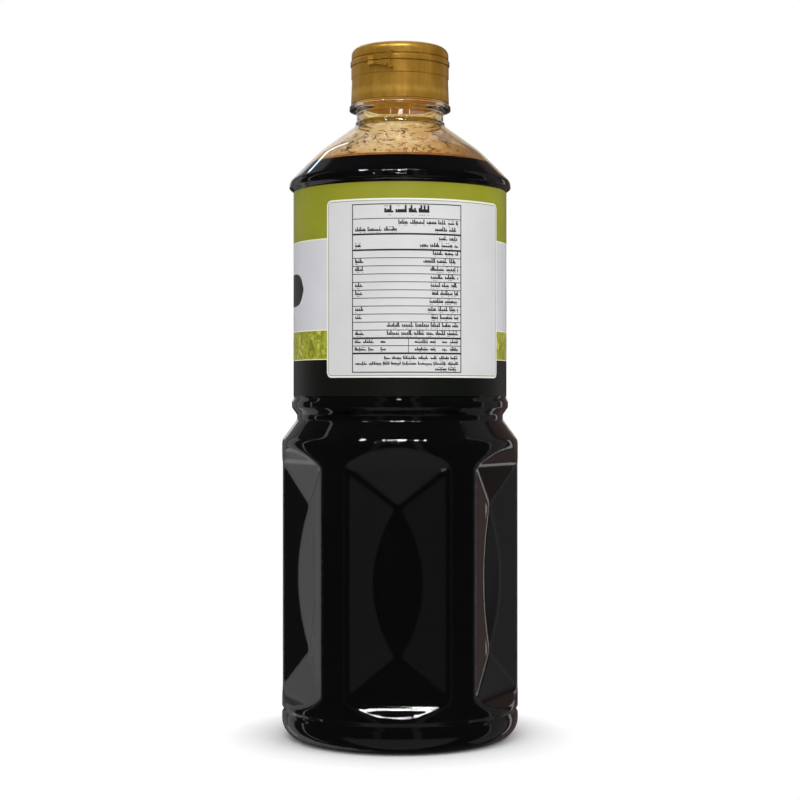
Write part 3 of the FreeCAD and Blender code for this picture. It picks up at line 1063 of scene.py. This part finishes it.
def draw_table(marks):
    """A plain table of rules with greeked entries."""
    rng = random.Random(7)
    left, right = TABLE_LEFT, TABLE_RIGHT
    for z in (TABLE_TOP_Z - FRAME_LINE, TABLE_BOTTOM_Z):
        marks.bar(left, right, z, z + FRAME_LINE)
    for x in (left, right - FRAME_LINE):
        marks.bar(x, x + FRAME_LINE, TABLE_BOTTOM_Z, TABLE_TOP_Z)

    def rule(z, thick=THIN_RULE):
        marks.bar(left, right, z - thick / 2, z + thick / 2)

    def row(bottom, label, value=None, tall=2.05):
        scribble(marks, rng, right - 1.3 - label, right - 1.3, bottom, tall)
        if value:
            scribble(marks, rng, left + 1.2, left + 1.2 + value, bottom, tall)

    title_z = TABLE_TOP_Z - 5.2
    scribble(marks, rng, -12.6, 4.0, title_z + 1.0, 3.6, 0.66)
    rule(title_z)
    row(title_z - 2.5, 22.0)
    row(title_z - 4.9, 9.0, 15.0)
    rule(title_z - 5.4, THICK_RULE)
    row(ROWS_TOP_Z + 2.9, 7.5)
    row(ROWS_TOP_Z + 0.5, 14.5, 2.2)
    for k in range(ROW_COUNT + 1):
        rule(ROWS_TOP_Z - k * ROW, THICK_RULE if k in (0, ROW_COUNT) else THIN_RULE)
    for k in range(ROW_COUNT):
        wide = rng.uniform(9.5, 13.5) if k < SHORT_ROWS else 26.0
        row(ROWS_TOP_Z - (k + 1) * ROW + 0.55, wide, rng.uniform(2.6, 3.6) if k % 3 else None)
    split_top = ROWS_TOP_Z - ROW_COUNT * ROW
    for k in (1, 2):
        z = split_top - k * SPLIT_ROW
        rule(z, THICK_RULE if k == 2 else THIN_RULE)
        for start, wide in SPLIT_ENTRIES:
            scribble(marks, rng, start, start + wide, z + 0.55, 1.6)
    marks.bar(DIVIDER_X, DIVIDER_X + 0.2, split_top - 2 * SPLIT_ROW, split_top)
    for k, wide in enumerate(FOOTNOTES):
        row(TABLE_BOTTOM_Z + 4.3 - k * FOOTNOTE_STEP, wide, tall=1.5)


# ---- Cap ----


def finish_cap(gold):
    for name in ("cap_base", "cap_lid"):
        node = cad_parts[name]
        node.data.materials.clear()
        node.data.materials.append(gold)


# ---- Stage ----

# Soft patches of a dark studio, seen in the gloss: azimuth and elevation, half width and
# half height, softness (degrees), brightness and colour.
PLAIN = (1.0, 1.0, 1.0)
REFLECTED = (
    (169, 38, 15, 34, 5, 0.70, (1.0, 0.86, 0.72)),
    (-170, 38, 15, 34, 4, 1.0, PLAIN),
    (17, 0, 4, 60, 3, 0.14, PLAIN),
    (-22, 0, 4, 60, 3, 0.11, PLAIN),
    (0, -58, 60, 34, 10, 0.22, PLAIN),
    (-152, -8, 9, 60, 4, 0.22, PLAIN),
    (-133, -30, 9, 36, 3, 0.40, PLAIN),
    (-133, 15, 9, 10, 3, 0.42, PLAIN),
    (-108, 0, 1.5, 50, 2, 0.7, PLAIN),
    (-145, -22, 3.5, 7, 3, 0.62, PLAIN),
    (-154.5, 37, 1.3, 7.0, 1.5, 7.0, (0.62, 0.78, 1.0)),
    (112, 0, 16, 50, 6, 0.17, PLAIN),
    (148, 0, 16, 36, 6, 0.13, (1.0, 0.72, 0.68)),
    (98, 0, 1.5, 50, 2, 0.4, PLAIN),
    (137, -6, 2.5, 22, 2, 0.9, PLAIN),
)
REFLECTED_BASE = 0.04
INNER_PALE = (0.62, 0.47, 0.27)  # what light turned back inside the plastic sees
MATT_WORLD = 0.60  # what matt surfaces see

# Lamps seen as small highlights: azimuth, elevation, width and height (degrees),
# brightness and colour.
LAMPS = (
    (-53, 56, 6, 6, 44, (0.78, 0.88, 1.0)),
    (-22, 56, 2.5, 5, 30, PLAIN),
    (-13, 56, 3, 5, 34, PLAIN),
    (0, 63, 10, 2.5, 55, PLAIN),
    (0, 57, 7, 2.5, 55, PLAIN),
    (0, 50, 3, 4, 55, PLAIN),
    (22, 56, 3, 5, 30, PLAIN),
    (34, 56, 2.5, 5, 26, PLAIN),
)
LAMP_DISTANCE = 1.5
OBJECT_MIDDLE = (0.0, 0.0, 0.14)
NECK_LAMP_DISTANCE = 0.25  # close by, so that only the neck is at its mirror angle
NECK_LAMP_MIDDLE = (0.0, 0.0, 0.2635)
NECK_LAMP_HEIGHT = 0.011
NECK_LAMP_BRIGHTNESS = 14
NECK_LAMPS = ((-24, 0.010), (1, 0.046), (24, 0.010))  # azimuth and width
SOFT_LAMPS = (("key", -20, 50, 3.0), ("fill", 54, 35, 2.0))  # not seen in the gloss
SOFT_LAMP_DISTANCE = 1.2
SOFT_LAMP_SIZE = 0.9

# The floor's shadow fades out between these distances from the middle.
FLOOR_SHADOW = (0.0445, 0.064)
FLOOR_GLOW = 0.02
FLOOR_HALF = 3000.0

SENSOR_WIDTH = 36
LENS = 80.2
CAMERA_PLACE = (0, -0.658, 0.1235)


def area_light(name, azimuth, elevation, distance, width, height, brightness, colour,
               middle=OBJECT_MIDDLE):
    data = bpy.data.lights.new(name, "AREA")
    data.shape = "RECTANGLE"
    data.size, data.size_y = width, height
    data.energy = brightness * math.pi * width * height
    data.color = colour
    lamp = add_object(name, data)
    rise = math.radians(elevation)
    direction = np.array(at(math.radians(azimuth), math.cos(rise), math.sin(rise)))
    lamp.location = np.array(middle) + direction * distance
    lamp.rotation_euler = Vector(-direction).to_track_quat("-Z", "Y").to_euler()
    return lamp


def build_world():
    """White to the eye and through glass, a plain grey to matt surfaces, a dark studio
    to gloss, and a warm pale tone to light turned back inside the plastic."""
    world = bpy.data.worlds.new("studio")
    bpy.context.scene.world = world
    world.use_nodes = True
    world.cycles.sampling_method = "NONE"
    sky = Nodes(world.node_tree)
    x, y, z = sky.split(sky.node("TexCoord").outputs["Generated"])
    azimuth = sky.math("DEGREES", sky.math("ARCTAN2", x, sky.times(y, -1.0)))
    elevation = sky.math("DEGREES", sky.math("ARCSINE", z))
    studio = (REFLECTED_BASE,) * 3
    for az, el, wide, high, soft, bright, colour in REFLECTED:
        patch = sky.times(sky.within(azimuth, az, wide, soft),
                          sky.within(elevation, el, high, soft))
        studio = sky.blend(patch, studio, tuple(c * bright for c in colour))
    path = sky.node("LightPath").outputs
    matt = sky.math("MINIMUM", path["Diffuse Depth"], 1.0)
    bounced = sky.math("MINIMUM", path["Glossy Depth"], 1.0)
    inner = sky.blend(path["Is Transmission Ray"], studio, INNER_PALE)
    seen = sky.blend(bounced, PLAIN, inner)
    sky.link(sky.blend(matt, seen, (MATT_WORLD,) * 3),
             sky.tree.nodes["Background"].inputs["Color"])


def build_floor():
    """A pale floor that shows the bottle's shadow near its foot and is white beyond."""
    look = Look("pale_floor", Roughness=0.7)
    look.mottle(look.noise(9, 2.0), (0.79,) * 3, (0.81,) * 3, 0.3, 0.7)
    look.shader.inputs["Specular IOR Level"].default_value = 0.0
    path = look.node("LightPath").outputs
    seen = look.math("MAXIMUM", path["Is Camera Ray"], path["Is Transmission Ray"])
    seen = look.math("MAXIMUM", seen, path["Is Glossy Ray"])
    near = look.node("Emission", {"Strength": look.times(seen, FLOOR_GLOW)})
    lit = look.node("AddShader", {0: look.shader.outputs["BSDF"],
                                  1: near.outputs["Emission"]})
    away = look.spread(look.length(look.where()), 0.0, 1.0, *FLOOR_SHADOW)
    look.mix(look.times(away, seen), lit.outputs["Shader"],
             look.node("Emission").outputs["Emission"])
    half = FLOOR_HALF
    corners = [(-half, -half, 0), (half, -half, 0), (half, half, 0), (-half, half, 0)]
    floor = make_object("floor", corners, [(0, 1, 2, 3)], [look.material])
    floor.visible_glossy = False


def build_lights():
    for i, (azimuth, elevation, wide, high, bright, colour) in enumerate(LAMPS):
        lamp = area_light("lamp_%d" % i, azimuth, elevation, LAMP_DISTANCE,
                          LAMP_DISTANCE * math.radians(wide),
                          LAMP_DISTANCE * math.radians(high), bright, colour)
        lamp.visible_diffuse = False
    for i, (azimuth, wide) in enumerate(NECK_LAMPS):
        lamp = area_light("neck_lamp_%d" % i, azimuth, 0, NECK_LAMP_DISTANCE, wide,
                          NECK_LAMP_HEIGHT, NECK_LAMP_BRIGHTNESS, PLAIN, NECK_LAMP_MIDDLE)
        lamp.visible_diffuse = False
    for name, azimuth, elevation, bright in SOFT_LAMPS:
        lamp = area_light(name, azimuth, elevation, SOFT_LAMP_DISTANCE, SOFT_LAMP_SIZE,
                          SOFT_LAMP_SIZE, bright, PLAIN)
        lamp.visible_glossy = False


def build_camera():
    data = bpy.data.cameras.new("camera")
    data.sensor_width = SENSOR_WIDTH
    data.lens = LENS
    camera = add_object("camera", data)
    camera.location = CAMERA_PLACE
    camera.rotation_euler = (math.pi / 2, 0, 0)
    bpy.context.scene.camera = camera


# ---- Everything ----

build_camera()
build_world()
build_floor()
build_lights()
bpy.context.scene.view_settings.view_transform = "Standard"

build_bottle(clear_plastic(), stained_plastic(), neck_plastic())
build_sauce(dark_sauce())
build_trails(
    thin_layer("sauce_trail", 0.25, (420, 3.0), (40, 22, 5), (82, 50, 14),
               film=((0.60, 0.33, 0.09), 0.22)),
    thin_layer("sauce_drop", 0.15, (900, 2.0), (150, 84, 48), (186, 122, 78)),
)
build_bubbles(thin_layer("foam_skin", 0.08, (700, 2.0), (200, 140, 70), (240, 206, 150),
                         film=((0.90, 0.72, 0.42), 0.35), ior=FOAM_IOR))
build_rim(thin_layer("amber_rim", 0.2, (120, 3.0), (190, 118, 30), (222, 156, 62),
                     (0.3, 0.7), ((0.90, 0.66, 0.24), 0.45)))
build_label({
    "white": film_colour("label_white", (202, 202, 207), (210, 210, 214)),
    "green": film_colour("label_green", (136, 138, 12), (148, 149, 22)),
    "line": film_colour("label_line", (230, 230, 196), (236, 236, 206)),
    "mottled": mottled_green(),
    "dark": film_colour("label_dark", (8, 13, 4), (13, 17, 8)),
})
build_front_print(
    film_colour("print_cream", (226, 224, 196), (234, 232, 206)),
    film_colour("print_dark", (24, 25, 24), (32, 33, 31)),
    film_colour("print_green", (120, 124, 14), (134, 138, 24)),
)
build_sticker(
    film_colour("sticker_paper", (205, 204, 205), (211, 210, 210), 0.5),
    film_colour("sticker_border", (226, 228, 222), (230, 232, 226), 0.5),
    film_colour("sticker_line", (132, 138, 62), (142, 148, 72), 0.5),
    film_colour("ink", (26, 24, 26), (36, 34, 36), 0.5),
)
finish_cap(gold_plastic())
